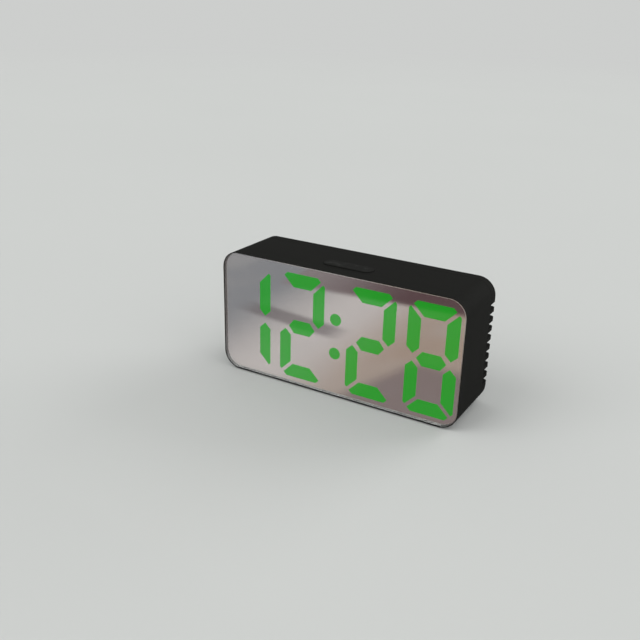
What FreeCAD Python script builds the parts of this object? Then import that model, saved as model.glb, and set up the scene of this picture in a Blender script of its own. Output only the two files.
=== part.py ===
import FreeCAD, Part
import math
import os
import re
from FreeCAD import Placement, Rotation, Vector
import Sketcher

# A small table clock whose whole front is a half mirror, with tall lit digits behind it.
# X runs to the right, Y to the rear and Z up, and the origin lies under the middle of the base.

os.makedirs("parts", exist_ok=True)
doc = FreeCAD.newDocument("MirrorClock")

SIZES = {
    # case
    "case_width": 140.0,
    "case_height": 68.0,
    "case_depth": 40.0,
    "corner_radius": 9.6,
    "wall": 1.8,
    "cover_depth": 7.0,
    "cover_side_wall": 5.0,
    "rear_wall": 2.4,
    "rear_edge_radius": 1.8,
    "parting_chamfer": 0.3,
    "spigot_depth": 3.0,
    "spigot_thickness": 1.2,
    "spigot_gap": 0.15,
    # ribbed rear sides
    "groove_count": 9,
    "groove_width": 3.0,
    "groove_pitch": 5.1,
    "groove_depth": 3.0,
    # mirror panel and what holds it
    "panel_thickness": 2.0,
    "panel_gap": 0.1,
    "panel_chamfer": 0.3,
    "lip": 0.4,
    "film_thickness": 0.1,
    "film_inset": 0.4,
    "tape_thickness": 0.4,
    "tape_inset": 0.1,
    # display
    "light_box_depth": 8.0,
    "light_box_gap": 0.15,
    "digit_margin": 4.4,
    "digit_side_margin": 3.1,
    "digit_space": 6.2,
    "colon_space": 13.4,
    "digit_drop": 0.8,
    "upright_width": 6.9,
    "bar_height": 7.7,
    "mitre_gap": 1.8,
    "tip_cut": 1.1,
    "corner_cut": 1.9,
    "point_gap": 1.9,
    "point_length": 3.3,
    "middle_end_gap": 5.5,
    "middle_flank": 3.1,
    "colon_radius": 3.3,
    "colon_rise": 9.4,
    "diffuser_depth": 1.5,
    "diffuser_gap": 0.05,
    "led_length": 3.5,
    "led_breadth": 2.8,
    "led_rise": 1.9,
    # boards and what they carry
    "board_thickness": 1.6,
    "board_gap": 0.4,
    "chip_length": 18.0,
    "chip_breadth": 7.5,
    "chip_rise": 2.3,
    "chip_across": -22.0,
    "chip_drop": 10.7,
    "crystal_radius": 1.0,
    "crystal_length": 6.0,
    "crystal_across": -6.0,
    "key_board_end_gap": 11.5,
    "key_board_height": 12.0,
    "connector_length": 10.0,
    "connector_across": -22.0,
    "connector_rise": 3.0,
    "connector_height": 4.5,
    "ribbon_width": 8.0,
    "ribbon_thickness": 0.8,
    "ribbon_sag": 3.0,
    "buzzer_radius": 6.0,
    "buzzer_rise": 5.6,
    "sound_hole_radius": 0.8,
    "sound_ring_radius": 3.6,
    "sound_ring_count": 6,
    # snooze button and its switch
    "snooze_length": 28.0,
    "snooze_breadth": 8.6,
    "snooze_corner": 4.0,
    "snooze_proud": 0.5,
    "snooze_setback": 13.0,
    "snooze_gap": 0.2,
    "snooze_flange": 1.4,
    "snooze_flange_thickness": 1.0,
    "snooze_travel": 0.8,
    "snooze_stem_radius": 1.5,
    "snooze_stem_length": 2.5,
    "snooze_switch_width": 6.0,
    "snooze_switch_rise": 4.5,
    "snooze_switch_height": 5.0,
    # rear keys and their switches
    "key_pitch": 14.0,
    "key_radius": 3.6,
    "key_gap": 0.2,
    "key_flange": 1.0,
    "key_flange_thickness": 0.8,
    "key_stem_length": 0.7,
    "key_top_gap": 0.1,
    "key_travel": 0.5,
    "key_row_drop": 10.2,
    "key_recess_depth": 1.0,
    "key_recess_length": 60.0,
    "key_recess_height": 11.0,
    "stop_gap": 0.1,
    "switch_width": 6.0,
    "switch_rise": 3.5,
    "plunger_radius": 1.6,
    "plunger_rise": 1.5,
    "plunger_root": 0.6,
    "plunger_gap": 0.1,
    # power inlet
    "inlet_width": 7.6,
    "inlet_height": 2.9,
    "inlet_length": 7.9,
    "inlet_corner": 0.9,
    "inlet_wall": 0.35,
    "inlet_gap": 0.3,
    "inlet_tongue_width": 4.2,
    "inlet_tongue_height": 0.7,
    "inlet_tongue_setback": 0.8,
    "inlet_recess_margin": 2.0,
    "inlet_recess_depth": 1.0,
    # battery bay, cells and door
    "cell_radius": 5.25,
    "cell_length": 44.5,
    "cell_nub_radius": 1.9,
    "cell_nub_length": 0.9,
    "cell_gap": 0.4,
    "bay_wall": 1.4,
    "door_key_gap": 4.5,
    "contact_thickness": 0.4,
    "contact_width": 8.4,
    "contact_height": 8.4,
    "spring_leaf": 0.3,
    "spring_rise": 5.2,
    "spring_width": 7.6,
    "spring_height": 5.0,
    "door_end_ledge": 5.75,
    "door_edge_ledge": 1.95,
    "door_thickness": 1.6,
    "door_corner": 1.5,
    "door_gap": 0.25,
    "tab_width": 2.8,
    "tab_inset": 0.8,
    "tab_reach": 1.8,
    "tab_thickness": 1.2,
    "tab_rise": 1.6,
    "tab_gap": 0.3,
    "tongue_length": 12.0,
    "tongue_height": 9.0,
    "tongue_slot": 0.8,
    "nose_depth": 1.6,
    "nose_height": 1.2,
    "nose_gap": 0.3,
    "notch_length": 14.0,
    "notch_height": 2.6,
    "notch_depth": 1.0,
    "thumb_groove_radius": 0.35,
    "thumb_groove_pitch": 1.5,
    # posts and screws
    "post_inset": 6.9,
    "post_radius": 3.4,
    "column_radius": 3.7,
    "post_setback": 3.5,
    "case_screw_radius": 1.25,
    "case_screw_length": 10.0,
    "case_head_radius": 2.5,
    "case_head_rise": 1.7,
    "case_head_floor": 3.0,
    "head_gap": 0.25,
    "thread_gap": 0.05,
    "pilot_spare": 1.0,
    "board_post_radius": 2.8,
    "board_post_length": 9.0,
    "board_post_inset": 7.6,
    "board_screw_radius": 1.0,
    "board_screw_length": 6.0,
    "board_head_radius": 1.9,
    "board_head_rise": 1.3,
    "key_post_gap": 6.0,
    "key_post_radius": 2.4,
    # pads under the base
    "pad_proud": 0.7,
    "pad_sunk": 0.5,
    "pad_radius": 4.0,
    "pad_gap": 0.15,
    "pad_side_inset": 18.0,
    "pad_front_inset": 8.0,
    "pad_rear_inset": 26.0,
}

sheet = doc.addObject("Spreadsheet::Sheet", "Sizes")
for row, (alias, value) in enumerate(SIZES.items(), start=1):
    sheet.set("A%d" % row, alias)
    sheet.set("B%d" % row, str(value))
    sheet.setAlias("B%d" % row, alias)
doc.recompute()

# Places that several pieces share, worked out from the sizes
FRONT = "(-case_depth / 2)"
REAR = "(case_depth / 2)"
SIDE = "(case_width / 2)"
BASE = "pad_proud"
TOP = "(pad_proud + case_height)"
MIDDLE = "(pad_proud + case_height / 2)"
PANEL_BACK = "(panel_thickness - case_depth / 2)"
FILM_BACK = "(%s + film_thickness)" % PANEL_BACK
SEAT = "(%s + tape_thickness)" % FILM_BACK
BOARD_FRONT = "(%s + light_box_depth)" % FILM_BACK
BOARD_BACK = "(%s + board_thickness)" % BOARD_FRONT
SPLIT = "(case_depth / 2 - cover_depth)"
POST_END = "(%s - post_setback)" % SPLIT
REAR_INNER = "(case_depth / 2 - rear_wall)"
KEY_FLANGE_BACK = "(%s - stop_gap)" % REAR_INNER
KEY_FLANGE_FRONT = "(%s - key_flange_thickness)" % KEY_FLANGE_BACK
KEY_PLUNGER_TOP = "(%s - key_stem_length)" % KEY_FLANGE_FRONT
KEY_SWITCH_TOP = "(%s - plunger_rise)" % KEY_PLUNGER_TOP
KEY_BOARD_BACK = "(%s - switch_rise)" % KEY_SWITCH_TOP
KEY_BOARD_FRONT = "(%s - board_thickness)" % KEY_BOARD_BACK
SNOOZE_MIDDLE = "(%s + snooze_setback)" % FRONT
SNOOZE_FLANGE_TOP = "(%s - wall - stop_gap)" % TOP
SNOOZE_FLANGE_BOTTOM = "(%s - snooze_flange_thickness)" % SNOOZE_FLANGE_TOP
SNOOZE_PLUNGER_TOP = "(%s - snooze_stem_length)" % SNOOZE_FLANGE_BOTTOM
SNOOZE_SWITCH_TOP = "(%s - plunger_rise)" % SNOOZE_PLUNGER_TOP
SNOOZE_SWITCH_MIDDLE = "(%s + snooze_switch_rise / 2)" % BOARD_BACK
SNOOZE_ROOM = "(%s - snooze_travel - snooze_gap)" % SNOOZE_FLANGE_BOTTOM
CELL_MIDDLE = "(case_depth / 2 - door_thickness - cell_gap - cell_radius)"
BAY_FLOOR = "(%s - cell_radius - cell_gap / 2)" % CELL_MIDDLE
CELL_PITCH = "(2 * cell_radius + cell_gap)"
BAY_HEIGHT = "(3 * %s + cell_gap)" % CELL_PITCH
BAY_END = "(cell_length / 2 + contact_thickness + spring_rise / 2)"
DOOR_HEIGHT = "(%s + 2 * door_edge_ledge)" % BAY_HEIGHT
DOOR_SIDE = "(%s + door_end_ledge)" % BAY_END
KEY_ROW = "(%s - key_row_drop)" % TOP
KEY_POST_ACROSS = "(key_recess_length / 2 + key_post_gap)"
STRIP_END_ACROSS = "((%s + case_width / 2 - post_inset) / 2)" % KEY_POST_ACROSS
DOOR_HEAD = "(%s - key_recess_height / 2 - door_key_gap)" % KEY_ROW
BAY_MIDDLE = "(%s - %s / 2)" % (DOOR_HEAD, DOOR_HEIGHT)
DOOR_FOOT = "(%s - %s)" % (DOOR_HEAD, DOOR_HEIGHT)
DIGIT_WIDTH = "((case_width - 2 * digit_side_margin - 2 * digit_space - colon_space) / 4)"
CHIP_MIDDLE = "(%s - chip_drop)" % MIDDLE
CORNERS = [(side, level) for side in (1, -1) for level in (1, -1)]


def corner_spot(corner, across, up):
    """The place of one of four like features, by its distances from the middle of the face."""
    side, level = corner
    return "(%d * (%s))" % (side, across), "(%s + %d * (%s))" % (MIDDLE, level, up)


POST_SPOTS = {
    corner: corner_spot(corner, "case_width / 2 - post_inset", "case_height / 2 - post_inset")
    for corner in CORNERS
}
BOARD_POST_SPOTS = {
    corner: corner_spot(
        corner,
        "(colon_space + digit_space) / 2 + %s" % DIGIT_WIDTH,
        "case_height / 2 - board_post_inset",
    )
    for corner in CORNERS
}
KEY_SPOTS = {
    "set_key": "(-1.5 * key_pitch)",
    "alarm_key": "(-0.5 * key_pitch)",
    "up_key": "(0.5 * key_pitch)",
    "down_key": "(1.5 * key_pitch)",
}
BEYOND = "(case_depth / 2 + wall)"


def in_sheet(expression):
    """The expression with each size named as a cell of the sheet."""

    def cell(word):
        return "Sizes." + word.group(0) if word.group(0) in SIZES else word.group(0)

    return re.sub(r"[a-z_]+", cell, expression)


def bind(piece, property_name, expression):
    """Ties a property to sizes of the sheet."""
    piece.setExpression(property_name, in_sheet(expression))


def size(alias):
    """A size as the sheet holds it."""
    return float(sheet.get(alias))


def place(piece, x, y, z):
    """Ties the place of a piece to the sheet."""
    for axis, expression in zip("xyz", (x, y, z)):
        bind(piece, "Placement.Base." + axis, expression)


def block(name, x, y, z):
    """A block between low and high limits on each axis."""
    piece = doc.addObject("Part::Box", name)
    for length, (low, high) in zip(("Length", "Width", "Height"), (x, y, z)):
        bind(piece, length, "(%s) - (%s)" % (high, low))
    place(piece, x[0], y[0], z[0])
    return piece


TURNS = {
    "x": Rotation(Vector(0, 1, 0), 90),
    "y": Rotation(Vector(1, 0, 0), -90),
    "z": Rotation(),
}


def rod(name, radius, along, start, end, across):
    """A round rod along one axis, from start to end, at the other two coordinates in across."""
    piece = doc.addObject("Part::Cylinder", name)
    bind(piece, "Radius", radius)
    bind(piece, "Height", "(%s) - (%s)" % (end, start))
    piece.Placement = Placement(Vector(), TURNS[along])
    spot = list(across)
    spot.insert("xyz".index(along), start)
    place(piece, *spot)
    return piece


def on_plane(body, name, plane):
    """A sketch on one of the body's own origin planes."""
    sketch = body.newObject("Sketcher::SketchObject", name)
    support = [f for f in body.Origin.OriginFeatures if f.Role == plane][0]
    sketch.AttachmentSupport = (support, [""])
    sketch.MapMode = "FlatFace"
    return sketch


def rounded_outline(sketch, width, height, radius):
    """A rectangle with round corners, centred on the sketch's origin."""
    w, h, r = 10, 8, 2
    corners = [(w - r, r - h, -90), (w - r, h - r, 0), (r - w, h - r, 90), (r - w, r - h, 180)]
    lines = [
        ((r - w, -h), (w - r, -h)),
        ((w, r - h), (w, h - r)),
        ((w - r, h), (r - w, h)),
        ((-w, h - r), (-w, r - h)),
    ]
    for (a, b), (x, y, start) in zip(lines, corners):
        sketch.addGeometry(Part.LineSegment(Vector(*a, 0), Vector(*b, 0)), False)
        circle = Part.Circle(Vector(x, y, 0), Vector(0, 0, 1), r)
        arc = Part.ArcOfCircle(circle, math.radians(start), math.radians(start + 90))
        sketch.addGeometry(arc, False)
    for i in range(8):
        sketch.addConstraint(Sketcher.Constraint("Tangent", i, 2, (i + 1) % 8, 1))
    for line in (0, 4):
        sketch.addConstraint(Sketcher.Constraint("Horizontal", line))
    for line in (2, 6):
        sketch.addConstraint(Sketcher.Constraint("Vertical", line))
    for arc in (3, 5, 7):
        sketch.addConstraint(Sketcher.Constraint("Equal", 1, arc))
    sketch.addConstraint(Sketcher.Constraint("Symmetric", 1, 3, 5, 3, -1, 1))
    for label, kind, points, value, expression in (
        ("corner", "Radius", (1,), r, radius),
        ("across", "DistanceX", (6, 1, 2, 1), 2 * w, width),
        ("up", "DistanceY", (0, 1, 4, 1), 2 * h, height),
    ):
        index = sketch.addConstraint(Sketcher.Constraint(kind, *points, value))
        sketch.renameConstraint(index, label)
        bind(sketch, "Constraints." + label, expression)


def slab(name, width, height, radius, start, end, x="0", z=MIDDLE):
    """An upright rounded plate, from start to end along Y, centred on x and z."""
    body = doc.addObject("PartDesign::Body", name)
    sketch = on_plane(body, name + "_outline", "XZ_Plane")
    rounded_outline(sketch, width, height, radius)
    pad = body.newObject("PartDesign::Pad", name + "_pad")
    pad.Profile = sketch
    pad.Reversed = True
    bind(pad, "Length", "(%s) - (%s)" % (end, start))
    sketch.Visibility = False
    place(body, x, start, z)
    return body


def flat_slab(name, length, breadth, radius, low, high, x="0", y="0"):
    """A level rounded plate, from low to high along Z, centred on x and y."""
    body = doc.addObject("PartDesign::Body", name)
    sketch = on_plane(body, name + "_outline", "XY_Plane")
    rounded_outline(sketch, length, breadth, radius)
    pad = body.newObject("PartDesign::Pad", name + "_pad")
    pad.Profile = sketch
    bind(pad, "Length", "(%s) - (%s)" % (high, low))
    place(body, x, y, low)
    return body


def soften(body, kind, amount, axis, highest):
    """Fillets or chamfers the edges round one end face of a body's last feature."""
    doc.recompute()
    base = body.Tip
    centres = [getattr(face.CenterOfMass, axis) for face in base.Shape.Faces]
    end = max(centres) if highest else min(centres)
    name = "Face%d" % (centres.index(end) + 1)
    feature = body.newObject("PartDesign::" + kind, body.Name + "_" + kind.lower())
    feature.Base = (base, [name])
    bind(feature, "Radius" if kind == "Fillet" else "Size", amount)
    body.Tip = feature


def join(name, *pieces):
    """The pieces as one object, fused where they meet."""
    if len(pieces) == 1:
        return pieces[0]
    piece = doc.addObject("Part::MultiFuse", name)
    piece.Shapes = list(pieces)
    return piece


def cut(name, base, *tools):
    """The base with the tools taken away."""
    piece = doc.addObject("Part::Cut", name)
    piece.Base = base
    piece.Tool = join(name + "_tools", *tools)
    return piece


def overlap(name, base, tool):
    """What two pieces have in common."""
    piece = doc.addObject("Part::Common", name)
    piece.Base = base
    piece.Tool = tool
    return piece


def group(name, *pieces):
    """Several like solids kept apart in one piece."""
    piece = doc.addObject("Part::Compound", name)
    piece.Links = list(pieces)
    return piece


nodes = {}


def node(name, piece):
    """Names a finished piece of the clock."""
    piece.Label = name
    nodes[name] = piece


# Mirror panel: clear acrylic sheet, let into the case with a hairline of plastic round it
panel = slab(
    "panel",
    "case_width - 2 * (lip + panel_gap)",
    "case_height - 2 * (lip + panel_gap)",
    "corner_radius - lip - panel_gap",
    FRONT,
    PANEL_BACK,
)
soften(panel, "Chamfer", "panel_chamfer", "y", False)
node("mirror_panel", panel)

# Half-mirror film laminated on the back of the panel
film = slab(
    "film",
    "case_width - 2 * (lip + film_inset)",
    "case_height - 2 * (lip + film_inset)",
    "corner_radius - lip - film_inset",
    PANEL_BACK,
    FILM_BACK,
)
node("mirror_film", film)

# Adhesive frame that bonds the panel to the step round the case's mouth
tape_outer = slab(
    "tape_outer",
    "case_width - 2 * (lip + film_inset)",
    "case_height - 2 * (lip + film_inset)",
    "corner_radius - lip - film_inset",
    FILM_BACK,
    SEAT,
)
tape_hole = slab(
    "tape_hole",
    "case_width - 2 * (wall - tape_inset)",
    "case_height - 2 * (wall - tape_inset)",
    "corner_radius - wall + tape_inset",
    PANEL_BACK,
    BOARD_FRONT,
)
node("panel_tape", cut("tape_frame", tape_outer, tape_hole))

# Front shell: an open tube with a step for the panel and posts for the screws
shell_outer = slab("shell_outer", "case_width", "case_height", "corner_radius", FRONT, SPLIT)
shell_mouth = slab(
    "shell_mouth",
    "case_width - 2 * lip",
    "case_height - 2 * lip",
    "corner_radius - lip",
    FRONT,
    SEAT,
)
shell_hollow = slab(
    "shell_hollow",
    "case_width - 2 * wall",
    "case_height - 2 * wall",
    "corner_radius - wall",
    SEAT,
    SPLIT,
)
posts = []
pilots = []
for i, ((side, level), (x, z)) in enumerate(POST_SPOTS.items()):
    posts.append(rod("case_post_%d" % i, "post_radius", "y", BOARD_BACK, POST_END, (x, z)))
    posts.append(
        block(
            "case_gusset_%d" % i,
            (x, SIDE) if side > 0 else ("-%s" % SIDE, x),
            (BOARD_BACK, POST_END),
            (z, TOP) if level > 0 else (BASE, z),
        )
    )
    pilots.append(
        rod(
            "case_pilot_%d" % i,
            "case_screw_radius + thread_gap",
            "y",
            "%s + case_head_floor - case_screw_length - pilot_spare" % POST_END,
            POST_END,
            (x, z),
        )
    )
BOARD_POST_END = "(%s + board_post_length)" % BOARD_BACK
for i, ((side, level), (x, z)) in enumerate(BOARD_POST_SPOTS.items()):
    posts.append(
        rod("board_post_%d" % i, "board_post_radius", "y", BOARD_BACK, BOARD_POST_END, (x, z))
    )
    posts.append(
        block(
            "board_rib_%d" % i,
            ("%s - board_post_radius / 2" % x, "%s + board_post_radius / 2" % x),
            (BOARD_BACK, BOARD_POST_END),
            (z, TOP) if level > 0 else (BASE, z),
        )
    )
    pilots.append(
        rod(
            "board_pilot_%d" % i,
            "board_screw_radius + thread_gap",
            "y",
            BOARD_BACK,
            "%s + board_screw_length - board_thickness + pilot_spare" % BOARD_BACK,
            (x, z),
        )
    )
shell_room = cut("shell_room", shell_hollow, *posts)
snooze_hole = flat_slab(
    "snooze_hole",
    "snooze_length + 2 * snooze_gap",
    "snooze_breadth + 2 * snooze_gap",
    "snooze_corner + snooze_gap",
    "%s - 2 * wall" % TOP,
    "%s + wall" % TOP,
    y=SNOOZE_MIDDLE,
)
PAD_SPOTS = [
    (x, y)
    for x in ("(%s - pad_side_inset)" % SIDE, "(pad_side_inset - %s)" % SIDE)
    for y in ("(%s + pad_front_inset)" % FRONT, "(%s + pad_rear_inset)" % FRONT)
]
pad_wells = [
    rod("pad_well_%d" % i, "pad_radius + pad_gap", "z", "0", "pad_proud + pad_sunk", spot)
    for i, spot in enumerate(PAD_SPOTS)
]
node(
    "front_shell",
    cut("shell", shell_outer, shell_mouth, shell_room, snooze_hole, *pad_wells, *pilots),
)

# Rear cover: a shallow tray with ribbed sides, a battery bay, key holes and screw columns
cover_outer = slab("cover_outer", "case_width", "case_height", "corner_radius", SPLIT, REAR)
soften(cover_outer, "Fillet", "rear_edge_radius", "y", True)
soften(cover_outer, "Chamfer", "parting_chamfer", "y", False)
cover_hollow = slab(
    "cover_hollow",
    "case_width - 2 * cover_side_wall",
    "case_height - 2 * wall",
    "corner_radius - wall",
    SPLIT,
    REAR_INNER,
)
spigot_outer = slab(
    "spigot_outer",
    "case_width - 2 * (wall + spigot_gap)",
    "case_height - 2 * (wall + spigot_gap)",
    "corner_radius - wall - spigot_gap",
    "%s - spigot_depth" % SPLIT,
    SPLIT,
)
SPIGOT_INSET = "(wall + spigot_gap + spigot_thickness)"
spigot_hole = slab(
    "spigot_hole",
    "case_width - 2 * %s" % SPIGOT_INSET,
    "case_height - 2 * %s" % SPIGOT_INSET,
    "corner_radius - %s" % SPIGOT_INSET,
    "%s - 2 * spigot_depth" % SPLIT,
    REAR_INNER,
)
spigot = cut("spigot", spigot_outer, spigot_hole)
columns = []
column_bores = []
HEAD_FLOOR = "(%s + case_head_floor)" % POST_END
for i, (x, z) in enumerate(POST_SPOTS.values()):
    columns.append(rod("column_%d" % i, "column_radius", "y", POST_END, REAR_INNER, (x, z)))
    column_bores.append(
        rod(
            "column_bore_%d" % i,
            "case_screw_radius + head_gap",
            "y",
            POST_END,
            HEAD_FLOOR,
            (x, z),
        )
    )
    column_bores.append(
        rod("head_well_%d" % i, "case_head_radius + head_gap", "y", HEAD_FLOOR, BEYOND, (x, z))
    )
for i, x in enumerate((KEY_POST_ACROSS, "-" + KEY_POST_ACROSS)):
    spot = (x, KEY_ROW)
    columns.append(rod("key_post_%d" % i, "key_post_radius", "y", KEY_BOARD_BACK, REAR_INNER, spot))
    column_bores.append(
        rod(
            "key_post_bore_%d" % i,
            "board_screw_radius + thread_gap",
            "y",
            KEY_BOARD_BACK,
            "%s + board_screw_length - board_thickness + thread_gap" % KEY_BOARD_BACK,
            spot,
        )
    )
BAY_FOOT = "(%s - %s / 2)" % (BAY_MIDDLE, BAY_HEIGHT)
BAY_HEAD = "(%s + %s / 2)" % (BAY_MIDDLE, BAY_HEIGHT)
bay_walls = block(
    "bay_walls",
    ("-%s - bay_wall" % BAY_END, "%s + bay_wall" % BAY_END),
    ("%s - bay_wall" % BAY_FLOOR, REAR_INNER),
    (
        "%s - bay_wall" % BAY_FOOT,
        "%s + bay_wall" % BAY_HEAD,
    ),
)
bay_room = block(
    "bay_room",
    ("-" + BAY_END, BAY_END),
    (BAY_FLOOR, BEYOND),
    (BAY_FOOT, BAY_HEAD),
)
door_recess = slab(
    "door_recess",
    "2 * (%s + door_gap)" % DOOR_SIDE,
    "%s + 2 * door_gap" % DOOR_HEIGHT,
    "door_corner + door_gap",
    "%s - door_thickness" % REAR,
    BEYOND,
    z=BAY_MIDDLE,
)
TAB_SPANS = (
    ("%s - tab_inset - tab_width" % DOOR_SIDE, "%s - tab_inset" % DOOR_SIDE),
    ("tab_inset - %s" % DOOR_SIDE, "tab_inset + tab_width - %s" % DOOR_SIDE),
)
hinge_slots = [
    block(
        "hinge_slot_%d" % i,
        ("%s - tab_gap" % low, "%s + tab_gap" % high),
        (SPLIT, BEYOND),
        (
            "%s - door_gap" % DOOR_FOOT,
            "%s + tab_rise + tab_reach + rear_wall" % DOOR_FOOT,
        ),
    )
    for i, (low, high) in enumerate(TAB_SPANS)
]
finger_notch = slab(
    "finger_notch",
    "notch_length",
    "2 * notch_height",
    "notch_height - notch_depth",
    "%s - notch_depth" % REAR,
    BEYOND,
    z=DOOR_HEAD,
)
key_recess = slab(
    "key_recess",
    "key_recess_length",
    "key_recess_height",
    "key_recess_height / 2 - key_gap",
    "%s - key_recess_depth" % REAR,
    BEYOND,
    z=KEY_ROW,
)
key_holes = [
    rod("hole_" + key, "key_radius + key_gap", "y", SPLIT, BEYOND, (x, KEY_ROW))
    for key, x in KEY_SPOTS.items()
]
sound_hole = rod(
    "sound_hole", "sound_hole_radius", "y", SPLIT, BEYOND, ("-" + STRIP_END_ACROSS, KEY_ROW)
)
sound_holes = [sound_hole]
for i in range(int(size("sound_ring_count"))):
    turn = "%d * 360 deg / sound_ring_count" % i
    spot = (
        "sound_ring_radius * cos(%s) - %s" % (turn, STRIP_END_ACROSS),
        "sound_ring_radius * sin(%s) + %s" % (turn, KEY_ROW),
    )
    sound_holes.append(rod("sound_hole_%d" % i, "sound_hole_radius", "y", SPLIT, BEYOND, spot))
inlet_hole = slab(
    "inlet_hole",
    "inlet_width + 2 * inlet_gap",
    "inlet_height + 2 * inlet_gap",
    "inlet_corner + inlet_gap",
    SPLIT,
    BEYOND,
    x=STRIP_END_ACROSS,
    z=KEY_ROW,
)
inlet_recess = slab(
    "inlet_recess",
    "inlet_width + 2 * inlet_recess_margin",
    "inlet_height + 2 * inlet_recess_margin",
    "inlet_corner + inlet_recess_margin / 2",
    "%s - inlet_recess_depth" % REAR,
    BEYOND,
    x=STRIP_END_ACROSS,
    z=KEY_ROW,
)
grooves = []
for i in range(int(size("groove_count"))):
    middle = "(%s + (%d - (groove_count - 1) / 2) * groove_pitch)" % (MIDDLE, i)
    for side, x in (
        ("right", ("%s - groove_depth" % SIDE, "%s + wall" % SIDE)),
        ("left", ("-%s - wall" % SIDE, "groove_depth - %s" % SIDE)),
    ):
        grooves.append(
            block(
                "groove_%s_%d" % (side, i),
                x,
                (SPLIT, BEYOND),
                ("%s - groove_width / 2" % middle, "%s + groove_width / 2" % middle),
            )
        )
cover_tray = cut("cover_tray", cover_outer, cover_hollow)
cover_solid = join("cover_solid", cover_tray, spigot, bay_walls, *columns)
node(
    "rear_cover",
    cut(
        "cover",
        cover_solid,
        bay_room,
        door_recess,
        finger_notch,
        key_recess,
        inlet_hole,
        inlet_recess,
        *hinge_slots,
        *key_holes,
        *sound_holes,
        *column_bores,
        *grooves,
    ),
)


# Seven-segment digits: outlines on one digit's cell, from its lower left corner
def mirrored(points, across=None, up=None):
    """The outline mirrored in a vertical or level line, in the same turning sense."""
    turned = [
        (u if across is None else across - u, v if up is None else up - v) for u, v in points
    ]
    return turned[::-1]


def segment_outlines():
    """The seven outlines of a digit, keyed by the usual letters."""
    w, tall = digit_width, digit_height
    upright, bar = size("upright_width"), size("bar_height")
    step = size("mitre_gap") / math.sqrt(2)
    tip, clip = size("tip_cut"), size("corner_cut")
    outer = w - upright - step + bar - clip
    top_bar = [
        (upright + step, tall - bar),
        (w - upright - step, tall - bar),
        (outer, tall - clip),
        (outer - clip, tall),
        (w - outer + clip, tall),
        (w - outer, tall - clip),
    ]
    shoulder = tall - bar - step
    low = tall / 2 + size("point_gap")
    right_top = [
        (w - upright / 2, low),
        (w, low + size("point_length")),
        (w, shoulder + upright - 2 * tip),
        (w - tip, shoulder + upright - tip),
        (w - upright, shoulder),
        (w - upright, low + size("point_length")),
    ]
    half, flank = w / 2 - size("middle_end_gap"), size("middle_flank")
    middle = [
        (w / 2 - half, tall / 2),
        (w / 2 - half + flank, tall / 2 - bar / 2),
        (w / 2 + half - flank, tall / 2 - bar / 2),
        (w / 2 + half, tall / 2),
        (w / 2 + half - flank, tall / 2 + bar / 2),
        (w / 2 - half + flank, tall / 2 + bar / 2),
    ]
    right_low = mirrored(right_top, up=tall)
    return {
        "a": top_bar,
        "b": right_top,
        "c": right_low,
        "d": mirrored(top_bar, up=tall),
        "e": mirrored(right_low, across=w),
        "f": mirrored(right_top, across=w),
        "g": middle,
    }


spaces = 2 * size("digit_side_margin") + 2 * size("digit_space") + size("colon_space")
digit_width = (size("case_width") - spaces) / 4
digit_height = size("case_height") - 2 * size("digit_margin")
OUTLINES = segment_outlines()
DIGIT_BASE = size("pad_proud") + size("digit_margin") - size("digit_drop")
minute_tens_left = size("colon_space") / 2
minute_units_left = minute_tens_left + digit_width + size("digit_space")
digit_left = {
    "hour_tens": -minute_units_left - digit_width,
    "hour_units": -minute_tens_left - digit_width,
    "minute_tens": minute_tens_left,
    "minute_units": minute_units_left,
}
LIT = {"hour_tens": "bc", "hour_units": "abged", "minute_tens": "abged", "minute_units": "abcdefg"}
COLON_MIDDLE = DIGIT_BASE + digit_height / 2
COLON_SPOTS = [COLON_MIDDLE - size("colon_rise"), COLON_MIDDLE + size("colon_rise")]
film_back = size("film_thickness") + size("panel_thickness") - size("case_depth") / 2


def segment_face(digit, letter, y):
    """One segment's flat outline at a depth."""
    points = [Vector(digit_left[digit] + u, y, DIGIT_BASE + v) for u, v in OUTLINES[letter]]
    return Part.Face(Part.makePolygon(points + points[:1]))


def segment_solids(digit, letters, y, depth, gap=0.0):
    """Prisms over some segments of a digit, drawn in by a gap."""
    solids = []
    for letter in letters:
        face = segment_face(digit, letter, y)
        if gap:
            face = face.makeOffset2D(-gap)
        solids.append(face.extrude(Vector(0, depth, 0)))
    return solids


def colon_solids(y, depth, radius):
    """Discs over the two dots of the colon."""
    return [Part.makeCylinder(radius, depth, Vector(0, y, z), Vector(0, 1, 0)) for z in COLON_SPOTS]


def shaped(name, solids):
    """A piece whose form is worked out above."""
    piece = doc.addObject("Part::Feature", name)
    piece.Shape = Part.makeCompound(solids)
    return piece


well_solids = colon_solids(film_back, size("light_box_depth"), size("colon_radius"))
for digit in digit_left:
    well_solids += segment_solids(digit, "abcdefg", film_back, size("light_box_depth"))
wells = shaped("light_wells", well_solids)

# Light box: a reflector with one well for each segment, notched under the snooze button
LIGHT_INSET = "(wall + light_box_gap)"
light_plate = slab(
    "light_plate",
    "case_width - 2 * %s" % LIGHT_INSET,
    "case_height - 2 * %s" % LIGHT_INSET,
    "corner_radius - %s" % LIGHT_INSET,
    FILM_BACK,
    BOARD_FRONT,
)
SNOOZE_CLEAR = "(snooze_length / 2 + snooze_flange + snooze_gap)"
light_notch = block(
    "light_notch",
    ("-%s" % SNOOZE_CLEAR, SNOOZE_CLEAR),
    ("%s - snooze_breadth / 2 - snooze_flange - snooze_gap" % SNOOZE_MIDDLE, BOARD_FRONT),
    (SNOOZE_ROOM, TOP),
)
head_rooms = [
    rod(
        "head_room_%d" % i,
        "board_head_radius + head_gap",
        "y",
        "%s - board_head_rise - head_gap" % BOARD_FRONT,
        BOARD_FRONT,
        spot,
    )
    for i, spot in enumerate(BOARD_POST_SPOTS.values())
]
node("light_box", cut("light_frame", light_plate, wells, light_notch, *head_rooms))

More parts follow.
